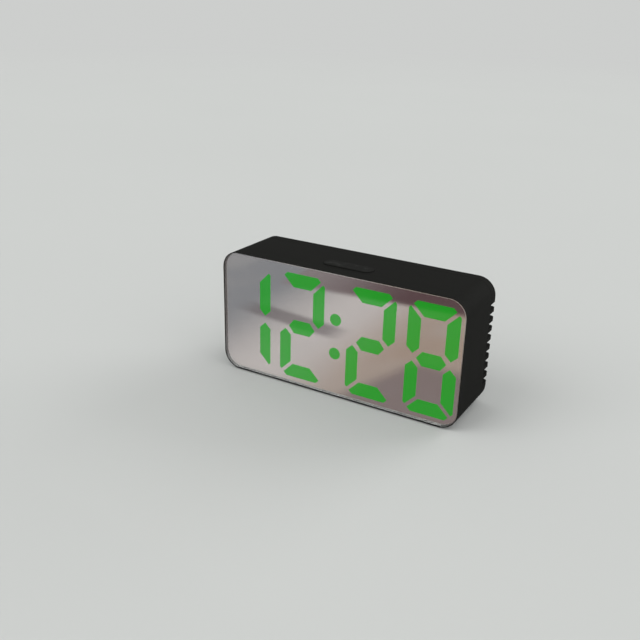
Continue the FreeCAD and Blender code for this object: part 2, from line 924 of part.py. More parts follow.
# Diffusers: a milky window in the mouth of each well, lit ones and dark ones
for digit, letters in LIT.items():
    for state, chosen in (
        ("lit", letters),
        ("dark", [letter for letter in "abcdefg" if letter not in letters]),
    ):
        if chosen:
            solids = segment_solids(
                digit, chosen, film_back, size("diffuser_depth"), size("diffuser_gap")
            )
            node("%s_%s_segments" % (digit, state), shaped("%s_%s" % (digit, state), solids))
node(
    "colon_dots",
    shaped(
        "colon",
        colon_solids(
            film_back, size("diffuser_depth"), size("colon_radius") - size("diffuser_gap")
        ),
    ),
)

# Main board, behind the light box
main_plate = slab(
    "main_plate",
    "case_width - 2 * (wall + board_gap)",
    "case_height - 2 * (wall + board_gap)",
    "corner_radius - wall - board_gap",
    BOARD_FRONT,
    BOARD_BACK,
)
board_notch = block(
    "board_notch",
    ("-%s" % SNOOZE_CLEAR, SNOOZE_CLEAR),
    (FILM_BACK, REAR),
    (SNOOZE_ROOM, TOP),
)
board_bores = [
    rod("board_bore_%d" % i, "board_screw_radius + thread_gap", "y", BOARD_FRONT, BOARD_BACK, spot)
    for i, spot in enumerate(BOARD_POST_SPOTS.values())
]
node("main_board", cut("main_cut", main_plate, board_notch, *board_bores))

# Light emitting diodes: two on the board in each segment's well and one under each dot
board_front = film_back + size("light_box_depth")
led_solids = []


def led(x, z, upright):
    """One surface-mounted diode on the front of the main board."""
    long, short, rise = size("led_length"), size("led_breadth"), size("led_rise")
    wide, tall = (short, long) if upright else (long, short)
    corner = Vector(x - wide / 2, board_front - rise, z - tall / 2)
    led_solids.append(Part.makeBox(wide, rise, tall, corner))


for digit, left in digit_left.items():
    for letter, outline in OUTLINES.items():
        upright = letter in "bcef"
        us = [u for u, v in outline]
        vs = [v for u, v in outline]
        middle_u, middle_v = (min(us) + max(us)) / 2, (min(vs) + max(vs)) / 2
        reach = (max(vs) - min(vs) if upright else max(us) - min(us)) / 5
        for side in (-reach, reach):
            u = middle_u + (0 if upright else side)
            v = middle_v + (side if upright else 0)
            led(left + u, DIGIT_BASE + v, upright)
for z in COLON_SPOTS:
    led(0, z, False)
node("segment_leds", shaped("leds", led_solids))

# Controller chip and watch crystal on the rear of the main board
chip = block(
    "chip",
    ("chip_across - chip_length / 2", "chip_across + chip_length / 2"),
    (BOARD_BACK, "%s + chip_rise" % BOARD_BACK),
    (CHIP_MIDDLE + " - chip_breadth / 2", CHIP_MIDDLE + " + chip_breadth / 2"),
)
node("clock_chip", chip)
crystal = rod(
    "crystal",
    "crystal_radius",
    "z",
    CHIP_MIDDLE + " - crystal_length / 2",
    CHIP_MIDDLE + " + crystal_length / 2",
    ("crystal_across", "%s + crystal_radius" % BOARD_BACK),
)
node("watch_crystal", crystal)


# Push switches: a square body with a round plunger that sinks into it
snooze_body = block(
    "snooze_body",
    ("-snooze_switch_width / 2", "snooze_switch_width / 2"),
    (BOARD_BACK, "%s + snooze_switch_rise" % BOARD_BACK),
    ("%s - snooze_switch_height" % SNOOZE_SWITCH_TOP, SNOOZE_SWITCH_TOP),
)
snooze_bore = rod(
    "snooze_bore",
    "plunger_radius + plunger_gap",
    "z",
    "%s - plunger_root - snooze_travel - plunger_gap" % SNOOZE_SWITCH_TOP,
    SNOOZE_SWITCH_TOP,
    ("0", SNOOZE_SWITCH_MIDDLE),
)
node("snooze_switch", cut("snooze_switch_cut", snooze_body, snooze_bore))
node(
    "snooze_plunger",
    rod(
        "snooze_pin",
        "plunger_radius",
        "z",
        "%s - plunger_root" % SNOOZE_SWITCH_TOP,
        SNOOZE_PLUNGER_TOP,
        ("0", SNOOZE_SWITCH_MIDDLE),
    ),
)

# Snooze button: a long low cap in the top, held from inside by a flange
cap = flat_slab(
    "snooze_cap",
    "snooze_length",
    "snooze_breadth",
    "snooze_corner",
    SNOOZE_FLANGE_TOP,
    "%s + snooze_proud" % TOP,
    y=SNOOZE_MIDDLE,
)
soften(cap, "Fillet", "snooze_proud - stop_gap", "z", True)
flange = flat_slab(
    "snooze_flange_plate",
    "snooze_length + 2 * snooze_flange",
    "snooze_breadth + 2 * snooze_flange",
    "snooze_corner + snooze_flange",
    SNOOZE_FLANGE_BOTTOM,
    SNOOZE_FLANGE_TOP,
    y=SNOOZE_MIDDLE,
)
stem = rod(
    "snooze_stem",
    "snooze_stem_radius",
    "z",
    SNOOZE_PLUNGER_TOP,
    SNOOZE_FLANGE_BOTTOM,
    ("0", SNOOZE_SWITCH_MIDDLE),
)
node("snooze_button", join("snooze_joined", cap, flange, stem))

# Key board: a strip behind the rear wall with the four key switches, buzzer and power inlet
key_strip = block(
    "key_strip",
    ("key_board_end_gap - " + SIDE, SIDE + " - key_board_end_gap"),
    (KEY_BOARD_FRONT, KEY_BOARD_BACK),
    (KEY_ROW + " - key_board_height / 2", KEY_ROW + " + key_board_height / 2"),
)
strip_bores = [
    rod(
        "strip_bore_%d" % i,
        "board_screw_radius + thread_gap",
        "y",
        KEY_BOARD_FRONT,
        KEY_BOARD_BACK,
        (x, KEY_ROW),
    )
    for i, x in enumerate((KEY_POST_ACROSS, "-" + KEY_POST_ACROSS))
]
node("key_board", cut("key_board_cut", key_strip, *strip_bores))

# Four keys with their switches and plungers
for key, x in KEY_SPOTS.items():
    name = key.replace("_key", "")
    body = block(
        name + "_body",
        ("%s - switch_width / 2" % x, "%s + switch_width / 2" % x),
        (KEY_BOARD_BACK, KEY_SWITCH_TOP),
        (KEY_ROW + " - switch_width / 2", KEY_ROW + " + switch_width / 2"),
    )
    bore = rod(
        name + "_bore",
        "plunger_radius + plunger_gap",
        "y",
        "%s - plunger_root - key_travel - plunger_gap" % KEY_SWITCH_TOP,
        KEY_SWITCH_TOP,
        (x, KEY_ROW),
    )
    node(name + "_switch", cut(name + "_switch_cut", body, bore))
    pin = rod(
        name + "_pin",
        "plunger_radius",
        "y",
        "%s - plunger_root" % KEY_SWITCH_TOP,
        KEY_PLUNGER_TOP,
        (x, KEY_ROW),
    )
    node(name + "_plunger", pin)
    head = rod(
        name + "_head",
        "key_radius",
        "y",
        KEY_FLANGE_BACK,
        "%s - key_top_gap" % REAR,
        (x, KEY_ROW),
    )
    collar = rod(
        name + "_collar",
        "key_radius + key_flange",
        "y",
        KEY_FLANGE_FRONT,
        KEY_FLANGE_BACK,
        (x, KEY_ROW),
    )
    foot = rod(
        name + "_foot",
        "plunger_radius",
        "y",
        KEY_PLUNGER_TOP,
        KEY_FLANGE_FRONT,
        (x, KEY_ROW),
    )
    node(key, join(key + "_joined", head, collar, foot))

# Buzzer behind the sound holes
node(
    "buzzer",
    rod(
        "buzzer_can",
        "buzzer_radius",
        "y",
        KEY_BOARD_BACK,
        "%s + buzzer_rise" % KEY_BOARD_BACK,
        ("-" + STRIP_END_ACROSS, KEY_ROW),
    ),
)

# Power inlet: a folded steel shell round a plastic tongue
inlet_outer = slab(
    "inlet_outer",
    "inlet_width",
    "inlet_height",
    "inlet_corner",
    KEY_BOARD_BACK,
    "%s + inlet_length" % KEY_BOARD_BACK,
    x=STRIP_END_ACROSS,
    z=KEY_ROW,
)
inlet_mouth = slab(
    "inlet_mouth",
    "inlet_width - 2 * inlet_wall",
    "inlet_height - 2 * inlet_wall",
    "inlet_corner - inlet_wall",
    "%s + inlet_wall" % KEY_BOARD_BACK,
    "%s + inlet_length + inlet_wall" % KEY_BOARD_BACK,
    x=STRIP_END_ACROSS,
    z=KEY_ROW,
)
node("power_inlet", cut("inlet_shell", inlet_outer, inlet_mouth))
node(
    "inlet_tongue",
    block(
        "tongue",
        (
            STRIP_END_ACROSS + " - inlet_tongue_width / 2",
            STRIP_END_ACROSS + " + inlet_tongue_width / 2",
        ),
        (
            "%s + inlet_wall" % KEY_BOARD_BACK,
            "%s + inlet_length - inlet_tongue_setback" % KEY_BOARD_BACK,
        ),
        (KEY_ROW + " - inlet_tongue_height / 2", KEY_ROW + " + inlet_tongue_height / 2"),
    ),
)

# Flat ribbon between the two boards, hanging in a shallow bow between its connectors
RIBBON_FRONT = "(%s + connector_rise)" % BOARD_BACK
RIBBON_BACK = "(%s - connector_rise)" % KEY_BOARD_FRONT
connector_spans = ((BOARD_BACK, RIBBON_FRONT), (RIBBON_BACK, KEY_BOARD_FRONT))
connectors = [
    block(
        "connector_%d" % i,
        (
            "connector_across - connector_length / 2",
            "connector_across + connector_length / 2",
        ),
        span,
        (KEY_ROW + " - connector_height / 2", KEY_ROW + " + connector_height / 2"),
    )
    for i, span in enumerate(connector_spans)
]
node("board_connectors", group("connector_pair", *connectors))
RIBBON_HALF = "((%s - %s) / 2)" % (RIBBON_BACK, RIBBON_FRONT)
RIBBON_BEND = "((%s ^ 2 + ribbon_sag ^ 2) / (2 * ribbon_sag))" % RIBBON_HALF
ribbon_axis = (
    "(%s + %s) / 2" % (RIBBON_FRONT, RIBBON_BACK),
    "%s + %s - ribbon_sag" % (KEY_ROW, RIBBON_BEND),
)
ribbon_x = ("connector_across - ribbon_width / 2", "connector_across + ribbon_width / 2")
ribbon_ring = cut(
    "ribbon_ring",
    rod("ribbon_under", "%s + ribbon_thickness / 2" % RIBBON_BEND, "x", *ribbon_x, ribbon_axis),
    rod("ribbon_over", "%s - ribbon_thickness / 2" % RIBBON_BEND, "x", *ribbon_x, ribbon_axis),
)
ribbon_space = block(
    "ribbon_space",
    ribbon_x,
    (RIBBON_FRONT, RIBBON_BACK),
    (KEY_ROW + " - ribbon_sag - connector_height", KEY_ROW),
)

node("ribbon_cable", overlap("ribbon", ribbon_ring, ribbon_space))

# Three cells side by side in the bay, turned end for end, with a plate and a bowed leaf each
CELL_TIP = "(%s - contact_thickness)" % BAY_END
LEAF_FOOT = "(contact_thickness - %s)" % BAY_END
LEAF_BEND = "((spring_width ^ 2 / 4 + spring_rise ^ 2) / (2 * spring_rise))"
plates = []
leaves = []


def lengthwise(turned, near, far):
    """Low and high limits along a cell, whose button end points along turned."""
    low, high = "(%d * (%s))" % (turned, near), "(%d * (%s))" % (turned, far)
    return (low, high) if turned > 0 else (high, low)


for name, row, turned in (("upper", 1, 1), ("middle", 0, -1), ("lower", -1, 1)):
    z = "(%s + %d * %s)" % (BAY_MIDDLE, row, CELL_PITCH)
    axis = (CELL_MIDDLE, z)
    body_span = lengthwise(turned, CELL_TIP + " - cell_length", CELL_TIP + " - cell_nub_length")
    nub_span = lengthwise(turned, CELL_TIP + " - cell_nub_length", CELL_TIP)
    can = rod(name + "_can", "cell_radius", "x", *body_span, axis)
    nub = rod(name + "_nub", "cell_nub_radius", "x", *nub_span, axis)
    node(name + "_cell", join(name + "_cell_joined", can, nub))
    broad = (CELL_MIDDLE + " - contact_width / 2", CELL_MIDDLE + " + contact_width / 2")
    tall = (z + " - contact_height / 2", z + " + contact_height / 2")
    plates.append(block(name + "_plate", lengthwise(turned, CELL_TIP, BAY_END), broad, tall))
    foot = block(name + "_leaf_foot", lengthwise(turned, "-" + BAY_END, LEAF_FOOT), broad, tall)
    leaf_tall = (z + " - spring_height / 2", z + " + spring_height / 2")
    bend_axis = (
        "%d * (%s + spring_rise - %s)" % (turned, LEAF_FOOT, LEAF_BEND),
        CELL_MIDDLE,
    )
    outer = rod(name + "_leaf_outer", LEAF_BEND, "z", *leaf_tall, bend_axis)
    inner = rod(name + "_leaf_inner", LEAF_BEND + " - spring_leaf", "z", *leaf_tall, bend_axis)
    space = block(
        name + "_leaf_space",
        lengthwise(turned, LEAF_FOOT, LEAF_FOOT + " + spring_rise"),
        (CELL_MIDDLE + " - cell_radius", CELL_MIDDLE + " + cell_radius"),
        leaf_tall,
    )
    bow = overlap(name + "_bow", cut(name + "_leaf_ring", outer, inner), space)
    leaves.append(join(name + "_leaf", foot, bow))
node("contact_plates", group("plates", *plates))
node("contact_springs", group("leaf_springs", *leaves))

# Battery door: hooks into two slots at its foot and snaps in with a sprung tongue at its head
DOOR_BACK = "(%s - door_thickness)" % REAR
door_plate = slab(
    "door_plate",
    "2 * " + DOOR_SIDE,
    DOOR_HEIGHT,
    "door_corner",
    DOOR_BACK,
    REAR,
    z=BAY_MIDDLE,
)
tabs = []
for i, (low, high) in enumerate(TAB_SPANS):
    hook_front = "(%s - tab_gap - tab_thickness)" % REAR_INNER
    tabs.append(
        block(
            "tab_link_%d" % i,
            (low, high),
            (hook_front, DOOR_BACK),
            (DOOR_FOOT, DOOR_FOOT + " + tab_rise"),
        )
    )
    tabs.append(
        block(
            "tab_hook_%d" % i,
            (low, high),
            (hook_front, hook_front + " + tab_thickness"),
            (DOOR_FOOT + " - tab_reach", DOOR_FOOT),
        )
    )
nose = block(
    "nose",
    ("-tongue_length / 2 + tongue_slot", "tongue_length / 2 - tongue_slot"),
    (DOOR_BACK + " - nose_depth", DOOR_BACK),
    (BAY_HEAD + " - nose_gap - nose_height", BAY_HEAD + " - nose_gap"),
)
tongue_slots = [
    block(
        "tongue_slot_%d" % i,
        (low, low + " + tongue_slot"),
        (SPLIT, BEYOND),
        (DOOR_HEAD + " - tongue_height", DOOR_HEAD + " + door_gap"),
    )
    for i, low in enumerate(("tongue_length / 2", "-tongue_length / 2 - tongue_slot"))
]
thumb_grooves = [
    rod(
        "thumb_groove_%d" % i,
        "thumb_groove_radius",
        "x",
        "-tongue_length / 2 + 2 * tongue_slot",
        "tongue_length / 2 - 2 * tongue_slot",
        (REAR, "%s - tongue_height / 2 + %d * thumb_groove_pitch" % (DOOR_HEAD, i)),
    )
    for i in (-1, 0, 1)
]
door_solid = join("door_solid", door_plate, nose, *tabs)
node("battery_door", cut("door", door_solid, *tongue_slots, *thumb_grooves))


# Screws: a low round head on a plain shank, driven from the rear or from the front
def screw(name, spot, seat, head_rise, length, head_radius, shank_radius, forward):
    """One screw seated at a depth, with its shank to the front where forward is set."""
    head_end = "%s + %s" % (seat, head_rise) if forward else "%s - %s" % (seat, head_rise)
    shank_end = "%s - %s" % (seat, length) if forward else "%s + %s" % (seat, length)
    head = rod(name + "_head", head_radius, "y", *in_order(forward, seat, head_end), spot)
    shank = rod(name + "_shank", shank_radius, "y", *in_order(not forward, seat, shank_end), spot)
    return join(name, head, shank)


def in_order(rising, near, far):
    """Two limits, the lower one first."""
    return (near, far) if rising else (far, near)


node(
    "case_screws",
    group(
        "case_screw_set",
        *[
            screw(
                "case_screw_%d" % i,
                spot,
                HEAD_FLOOR,
                "case_head_rise",
                "case_screw_length",
                "case_head_radius",
                "case_screw_radius",
                True,
            )
            for i, spot in enumerate(POST_SPOTS.values())
        ],
    ),
)
for name, seat, spots in (
    ("board_screws", BOARD_FRONT, BOARD_POST_SPOTS.values()),
    (
        "key_board_screws",
        KEY_BOARD_FRONT,
        [(KEY_POST_ACROSS, KEY_ROW), ("-" + KEY_POST_ACROSS, KEY_ROW)],
    ),
):
    node(
        name,
        group(
            name + "_set",
            *[
                screw(
                    "%s_%d" % (name, i),
                    spot,
                    seat,
                    "board_head_rise",
                    "board_screw_length",
                    "board_head_radius",
                    "board_screw_radius",
                    False,
                )
                for i, spot in enumerate(spots)
            ],
        ),
    )

# Soft pads let into the underside
node(
    "base_pads",
    group(
        "pad_set",
        *[
            rod("pad_%d" % i, "pad_radius", "z", "0", "pad_proud + pad_sunk", spot)
            for i, spot in enumerate(PAD_SPOTS)
        ],
    ),
)

doc.recompute()
for item in doc.Objects:
    if "Invalid" in item.State or "Error" in item.State:
        raise RuntimeError("%s failed: %s" % (item.Name, item.State))
for name, piece in nodes.items():
    shape = piece.Shape
    if shape.isNull() or not shape.isValid() or not shape.Solids:
        raise RuntimeError("%s has no sound solid" % name)
    print("%-26s %2d solids %10.2f mm3" % (name, len(shape.Solids), shape.Volume))
    shape.exportStep("parts/%s.step" % name)
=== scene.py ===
import math

import bmesh
import bpy
from mathutils import Matrix, Vector


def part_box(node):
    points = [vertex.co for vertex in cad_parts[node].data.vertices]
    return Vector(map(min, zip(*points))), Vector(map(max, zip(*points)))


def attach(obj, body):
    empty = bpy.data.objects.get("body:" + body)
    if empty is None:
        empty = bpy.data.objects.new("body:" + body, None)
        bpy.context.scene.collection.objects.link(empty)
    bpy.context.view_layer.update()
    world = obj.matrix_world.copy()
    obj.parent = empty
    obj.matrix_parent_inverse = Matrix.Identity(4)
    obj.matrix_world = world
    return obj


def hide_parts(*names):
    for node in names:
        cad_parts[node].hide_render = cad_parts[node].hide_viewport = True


# A small mirror clock of black moulded plastic, dressed from the outside in.
# Every length is in metres: X to the right, Y to the rear, Z up.
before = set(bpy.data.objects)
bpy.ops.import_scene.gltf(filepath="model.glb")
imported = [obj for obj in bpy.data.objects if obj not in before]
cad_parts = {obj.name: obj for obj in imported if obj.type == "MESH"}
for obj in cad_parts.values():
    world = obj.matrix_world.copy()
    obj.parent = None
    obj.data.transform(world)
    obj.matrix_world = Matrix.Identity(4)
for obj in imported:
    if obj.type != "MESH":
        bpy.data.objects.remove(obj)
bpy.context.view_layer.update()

# Front shell and rear cover: two black mouldings that meet at a fine parting line.
# The tool's spark-eroded skin leaves them satin, and hands polish the rims they hold; the rims'
# lighter colour is partly that wear and partly a painted highlight.


class Wire:
    """A value that varies over a surface. Sums on it add Math nodes to its finish."""

    def __init__(self, finish, socket):
        self.finish, self.socket = finish, socket

    def maths(self, operation, *values):
        return self.finish.node("Math", {"operation": operation}, dict(enumerate(values)))

    def __add__(self, other):
        return self.maths("ADD", self, other)

    def __sub__(self, other):
        return self.maths("SUBTRACT", self, other)

    def __rsub__(self, other):
        return self.maths("SUBTRACT", other, self)

    def __mul__(self, other):
        return self.maths("MULTIPLY", self, other)

    __radd__, __rmul__ = __add__, __mul__

    def __abs__(self):
        return self.maths("ABSOLUTE", self)

    def most(self, other):
        return self.maths("MAXIMUM", self, other)

    def least(self, other):
        return self.maths("MINIMUM", self, other)

    def root(self):
        return self.maths("SQRT", self)

    def wave(self, length):
        """A sine from -1 to 1 that repeats at this length."""
        return self.maths("SINE", self * (2 * math.pi / length))

    def ramp(self, low, high):
        """0 below low, 1 above high and smooth between; falling where low is the higher."""
        return self.finish.node(
            "MapRange", {"interpolation_type": "SMOOTHSTEP"}, {0: self, 1: low, 2: high}
        )


class Finish:
    """One finish of the clock: a material that gains nodes as it is worked out."""

    def __init__(self, name):
        self.material = bpy.data.materials.new(name)
        self.material.use_nodes = True
        self.tree = self.material.node_tree
        self.tree.nodes.clear()
        self.place = self.node("TexCoord", {}, {}, "Object")
        self.x, self.y, self.z = (
            self.node("SeparateXYZ", {}, {0: self.place}, axis) for axis in range(3)
        )

    def node(self, kind, settings, sockets, output=0):
        made = self.tree.nodes.new("ShaderNode" + kind)
        for name, value in settings.items():
            setattr(made, name, value)
        for name, value in sockets.items():
            socket = made.inputs[name]
            if isinstance(value, Wire):
                self.tree.links.new(value.socket, socket)
            else:
                socket.default_value = (*value, 1.0) if socket.type == "RGBA" else value
        return Wire(self, made.outputs[output]) if made.outputs else None

    def noise(self, size, detail=2.0, stretch=(1.0, 1.0, 1.0)):
        """Soft noise from 0 to 1 with patches of about this size, drawn out by stretch."""
        spot = self.node(
            "Mapping", {}, {"Vector": self.place, "Scale": [1.0 / (size * s) for s in stretch]}
        )
        return self.node("TexNoise", {}, {"Vector": spot, "Scale": 1.0, "Detail": detail})

    def tint(self, share, first, second):
        """A colour between two, by the share of the second."""
        return self.node("Mix", {"data_type": "RGBA"}, {0: share, 6: first, 7: second}, 2)

    def relief(self, height, depth):
        """A normal that shows height from 0 to 1 as a relief of this depth."""
        return self.node("Bump", {}, {"Height": height, "Distance": depth, "Strength": 1.0})

    def surface(self, sockets):
        shader = self.node("BsdfPrincipled", {}, sockets)
        self.node("OutputMaterial", {}, {"Surface": shader})
        return self


def dress(finish, *names):
    """Gives CAD nodes a finish in place of their plain one."""
    for name in names:
        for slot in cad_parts[name].material_slots:
            slot.material = finish.material


case_black = Finish("satin_black_abs")
front_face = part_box("front_shell")[0].y
rear_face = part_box("rear_cover")[1].y
rim_reach, back_reach = 0.0012, 0.0015
case_grain = case_black.noise(0.00028, 3.0)
case_flow = case_black.noise(0.03, 2.0, (1.6, 1.0, 0.5))
near_rim = case_black.y.ramp(front_face + rim_reach, front_face)
near_back = case_black.y.ramp(rear_face - back_reach, rear_face)
# Lighter, smoother patches along the front rim and the back edge: real wear and polish, with a
# painted highlight in the lighter colour.
rim_wear_and_highlight = near_rim * case_black.noise(0.006).ramp(0.35, 0.6)
back_wear_and_highlight = near_back * case_black.noise(0.009).ramp(0.5, 0.75)
case_wear_and_highlight = rim_wear_and_highlight * 0.7 + back_wear_and_highlight * 0.3
case_tone_and_highlight = case_flow * 0.5 + case_wear_and_highlight * 0.5
case_black.surface(
    {
        "Base Color": case_black.tint(case_tone_and_highlight, (0.0106, 0.0106, 0.0097), (0.0144, 0.0144, 0.0133)),
        "Roughness": 0.64 + case_grain * 0.08 - case_wear_and_highlight * 0.2,
        "Specular IOR Level": 0.02,
        "Normal": case_black.relief(case_grain, 0.00003),
    }
)
dress(case_black, "front_shell", "rear_cover")

# Mirror panel: 2 mm clear cast acrylic that covers the whole front.
# Its faces are as cast; the rim is left as the saw cut it, matt and pale inside the lip.
# The rim is found by how far a point lies past the inner box that joins the corners' centres.
acrylic = Finish("clear_cast_acrylic")
panel_low, panel_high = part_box("mirror_panel")
panel_middle, panel_half = (panel_low + panel_high) / 2, (panel_high - panel_low) / 2
panel_corner, sawn_width = 0.0091, 0.00031
past_x = abs(acrylic.x - panel_middle.x) - (panel_half.x - panel_corner)
past_z = abs(acrylic.z - panel_middle.z) - (panel_half.z - panel_corner)
beyond_x, beyond_z = past_x.most(0.0), past_z.most(0.0)
past_corner = (beyond_x * beyond_x + beyond_z * beyond_z).root()
past_side = past_x.most(past_z).least(0.0)
sawn = (past_corner + past_side).ramp(panel_corner - sawn_width, panel_corner - sawn_width * 0.9)
acrylic.surface(
    {
        "Base Color": acrylic.tint(sawn, (0.97, 0.98, 0.975), (0.62, 0.63, 0.625)),
        "Roughness": sawn * 0.5,
        "IOR": 1.49,
        "Transmission Weight": 1.0,
    }
)
dress(acrylic, "mirror_panel")


# Half-mirror film on the back of the panel: a thin metal coat that reflects the room.
# The windows stand in for the light of the lit segments, which outshines the coat. The coat
# lies a hair behind the panel, and its facets stay flat so that the cuts leave no false gloss.
def merged(name):
    """A bmesh copy of a CAD node with its loose triangles joined up."""
    shape = bmesh.new()
    shape.from_mesh(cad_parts[name].data)
    bmesh.ops.remove_doubles(shape, verts=shape.verts, dist=1e-6)
    return shape


def loose_piece(name, shape, *finishes):
    """An object of a finished bmesh, shaded smooth between its sharp edges."""
    mesh = bpy.data.meshes.new(name)
    shape.to_mesh(mesh)
    shape.free()
    for finish in finishes:
        mesh.materials.append(finish.material)
    mesh.polygons.foreach_set("use_smooth", [True] * len(mesh.polygons))
    mesh.set_sharp_from_angle(angle=math.radians(32))
    made = bpy.data.objects.new(name, mesh)
    bpy.context.scene.collection.objects.link(made)
    return made


def carve(piece, *cutters):
    """Cuts the cutters out of a piece and removes them."""
    for cutter in cutters:
        knife = piece.modifiers.new("knife", "BOOLEAN")
        knife.operation, knife.solver, knife.object = "DIFFERENCE", "EXACT", cutter
    bpy.context.view_layer.update()
    carved = piece.evaluated_get(bpy.context.evaluated_depsgraph_get())
    piece.data = bpy.data.meshes.new_from_object(carved)
    piece.modifiers.clear()
    for cutter in cutters:
        bpy.data.objects.remove(cutter)


def stand_in(piece, body, slot, *nodes):
    """Puts a finished piece on its body in place of CAD nodes."""
    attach(piece, body)
    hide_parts(*nodes)


LIT_SEGMENTS = (
    "hour_tens_lit_segments",
    "hour_units_lit_segments",
    "colon_dots",
    "minute_tens_lit_segments",
    "minute_units_lit_segments",
)
silver = Finish("half_mirror_coat")
silver_haze = silver.noise(0.018, 4.0)
silver.surface(
    {
        "Base Color": silver.tint(silver_haze, (0.66, 0.655, 0.64), (0.70, 0.695, 0.68)),
        "Metallic": 1.0,
        "Roughness": 0.03 + silver_haze * 0.03,
        "Normal": silver.relief(silver.noise(0.03, 1.0), 0.000012),
    }
)
coat_gap, window_shift = 0.00002, 0.0010
film_shape = merged("mirror_film")
film_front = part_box("mirror_film")[0].y
skin = [v for v in film_shape.verts if v.co.y < film_front + coat_gap]
bmesh.ops.translate(film_shape, verts=skin, vec=(0.0, coat_gap, 0.0))
film = loose_piece("half_mirror_film", film_shape, silver)
windows = []
for lit in LIT_SEGMENTS:
    window = merged(lit)
    bmesh.ops.translate(window, verts=window.verts, vec=(0.0, -window_shift, 0.0))
    windows.append(loose_piece(lit + "_window", window))
carve(film, *windows)
film.data.polygons.foreach_set("use_smooth", [False] * len(film.data.polygons))
stand_in(film, "clock", "mirror_silver", "mirror_film")

# Adhesive frame: black foam tape that holds the panel against the step of the shell.
# Its cut edge is dull and slightly open.
tape = Finish("black_foam_tape")
tape_cells = tape.noise(0.0004, 3.0)
tape.surface(
    {
        "Base Color": tape.tint(tape_cells, (0.008, 0.008, 0.008), (0.022, 0.022, 0.021)),
        "Roughness": 0.85,
        "Normal": tape.relief(tape_cells, 0.00006),
    }
)
dress(tape, "panel_tape")

# Light box: white reflector moulding with one tapered well for each segment.
# It is left glossy inside so that little light is lost.
white_abs = Finish("white_reflector_abs")
white_flow = white_abs.noise(0.02, 3.0)
white_abs.surface(
    {
        "Base Color": white_abs.tint(white_flow, (0.74, 0.74, 0.71), (0.82, 0.82, 0.80)),
        "Roughness": 0.35 + white_flow * 0.12,
        "Normal": white_abs.relief(white_abs.noise(0.0005), 0.00002),
    }
)
dress(white_abs, "light_box")

# Diffusers: milky windows in the mouths of the wells, green where the diodes are on.
# The diodes behind leave them a shade uneven along each stroke.
lit_green = Finish("lit_green_diffuser")
glow = lit_green.noise(0.009, 2.0)
lit_green.surface(
    {
        "Base Color": (0.005, 0.025, 0.006),
        "Roughness": 0.45,
        "Specular IOR Level": 0.1,
        "Emission Color": lit_green.tint(glow, (0.003, 0.285, 0.008), (0.006, 0.315, 0.012)),
        "Emission Strength": 1.0,
    }
)
dress(lit_green, *LIT_SEGMENTS)
dark_window = Finish("unlit_milky_diffuser")
milk = dark_window.noise(0.004, 3.0)
dark_window.surface(
    {
        "Base Color": dark_window.tint(milk, (0.42, 0.43, 0.42), (0.50, 0.51, 0.49)),
        "Roughness": 0.45 + milk * 0.1,
    }
)
dress(
    dark_window, "hour_tens_dark_segments", "hour_units_dark_segments", "minute_tens_dark_segments"
)

# Main board and key board: green solder mask over copper on a glass-fibre sheet.
# The tracks stand a little proud under the mask and read as lighter lines.
board = Finish("green_solder_mask")
tracks_per_metre = 230.0
track_map = board.node(
    "TexVoronoi", {"distance": "CHEBYCHEV"}, {"Vector": board.place, "Scale": tracks_per_metre}
)
tracks = abs(track_map * 5.0 - 1.2).ramp(0.32, 0.2)
weave = board.noise(0.0006, 2.0, (3.0, 1.0, 1.0))
bare_mask = board.tint(weave, (0.008, 0.060, 0.022), (0.012, 0.075, 0.028))
board.surface(
    {
        "Base Color": board.tint(tracks, bare_mask, (0.030, 0.14, 0.05)),
        "Roughness": 0.30 + weave * 0.12,
        "Normal": board.relief(tracks, 0.00004),
    }
)
dress(board, "main_board", "key_board")

# Diodes: cream ceramic bodies under clear yellow resin,
# which pools unevenly and sets glossy.
diode = Finish("cream_diode_body")
resin = diode.noise(0.0009, 1.0)
diode.surface(
    {
        "Base Color": diode.tint(resin.ramp(0.45, 0.6), (0.72, 0.66, 0.48), (0.78, 0.74, 0.30)),
        "Roughness": 0.3,
        "Coat Weight": 0.4,
    }
)
dress(diode, "segment_leds")

# Controller chip, buzzer can and inlet tongue: black moulded epoxy with a dull skin.
# The filler in it shows as a fine grain.
epoxy = Finish("black_epoxy")
epoxy_grain = epoxy.noise(0.0003, 4.0)
epoxy.surface(
    {
        "Base Color": epoxy.tint(epoxy_grain, (0.012, 0.012, 0.013), (0.026, 0.026, 0.027)),
        "Roughness": 0.62 + epoxy_grain * 0.1,
        "Normal": epoxy.relief(epoxy_grain, 0.00002),
    }
)
dress(epoxy, "clock_chip", "buzzer", "inlet_tongue")

# Watch crystal and power inlet: thin drawn or folded steel with a bright tinned skin.
# Fine lines run along it from front to rear.
steel = Finish("tinned_steel")
brushing = steel.noise(0.0003, 3.0, (1.0, 14.0, 1.0))
steel.surface(
    {
        "Base Color": steel.tint(brushing, (0.56, 0.56, 0.55), (0.70, 0.70, 0.69)),
        "Metallic": 1.0,
        "Roughness": 0.26 + brushing * 0.14,
        "Normal": steel.relief(brushing, 0.000006),
    }
)
dress(steel, "watch_crystal", "power_inlet")

# Push switches: half-gloss black bodies with milky white plungers.
# Both mouldings are a little cloudy, and the plungers let some light in.
switch_black = Finish("switch_body_nylon")
nylon = switch_black.noise(0.0012, 3.0)
switch_black.surface(
    {
        "Base Color": switch_black.tint(nylon, (0.014, 0.014, 0.015), (0.024, 0.024, 0.025)),
        "Roughness": 0.34 + nylon * 0.15,
    }
)
dress(switch_black, "snooze_switch", "set_switch", "alarm_switch", "up_switch", "down_switch")
plunger_white = Finish("plunger_acetal")
acetal = plunger_white.noise(0.0016, 2.0)
plunger_white.surface(
    {
        "Base Color": plunger_white.tint(acetal, (0.70, 0.69, 0.65), (0.80, 0.79, 0.75)),
        "Roughness": 0.35 + acetal * 0.1,
        "Subsurface Weight": 0.1,
    }
)
dress(
    plunger_white, "snooze_plunger", "set_plunger", "alarm_plunger", "up_plunger", "down_plunger"
)

